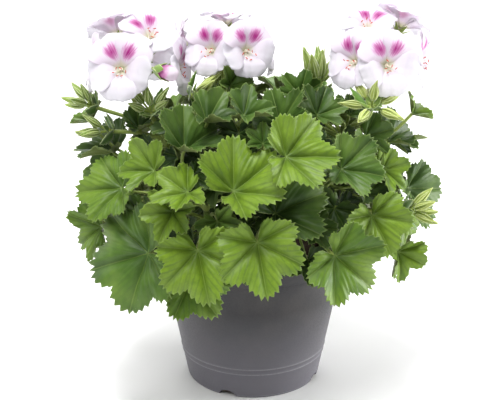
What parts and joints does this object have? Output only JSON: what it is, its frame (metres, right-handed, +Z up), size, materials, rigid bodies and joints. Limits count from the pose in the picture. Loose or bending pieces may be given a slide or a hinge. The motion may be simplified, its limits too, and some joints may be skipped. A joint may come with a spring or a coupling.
{
  "type": "potted regal pelargonium",
  "caption": "Bushy regal pelargonium with toothed lobed leaves and heads of pale blooms, growing in a round tapered nursery pot.",
  "frame": {"origin": "middle of the pot's underside, on the surface it stands on", "axes": "+Z up along the pot's axis, -Y towards the plant's front, +X to the right of someone looking at its front"},
  "size_m": [0.2549, 0.2279, 0.2609],
  "materials": {
    "pot": "matt dark grey moulded polypropylene",
    "soil": "crumbly peat compost",
    "leaf": "softly hairy green leaf",
    "petal": "thin satin petal"
  },
  "bodies": {
    "root": {"pot": "pot", "soil": "soil", "stem_left": "leaf", "stem_middle": "leaf", "stem_right": "leaf", "stem_front_left": "leaf", "stem_front_right": "leaf", "stem_back_left": "leaf", "stem_back_right": "leaf", "bloom_left_1": "petal", "bloom_left_2": "petal", "bloom_left_3": "petal", "bloom_left_4": "petal", "bloom_left_5": "petal", "bloom_left_6": "petal", "bloom_centre_1": "petal", "bloom_centre_2": "petal", "bloom_centre_3": "petal", "bloom_centre_4": "petal", "bloom_centre_5": "petal", "bloom_centre_6": "petal", "bloom_right_1": "petal", "bloom_right_2": "petal", "bloom_right_3": "petal", "bloom_right_4": "petal", "bloom_right_5": "petal", "bloom_right_6": "petal"}
  },
  "joints": []
}
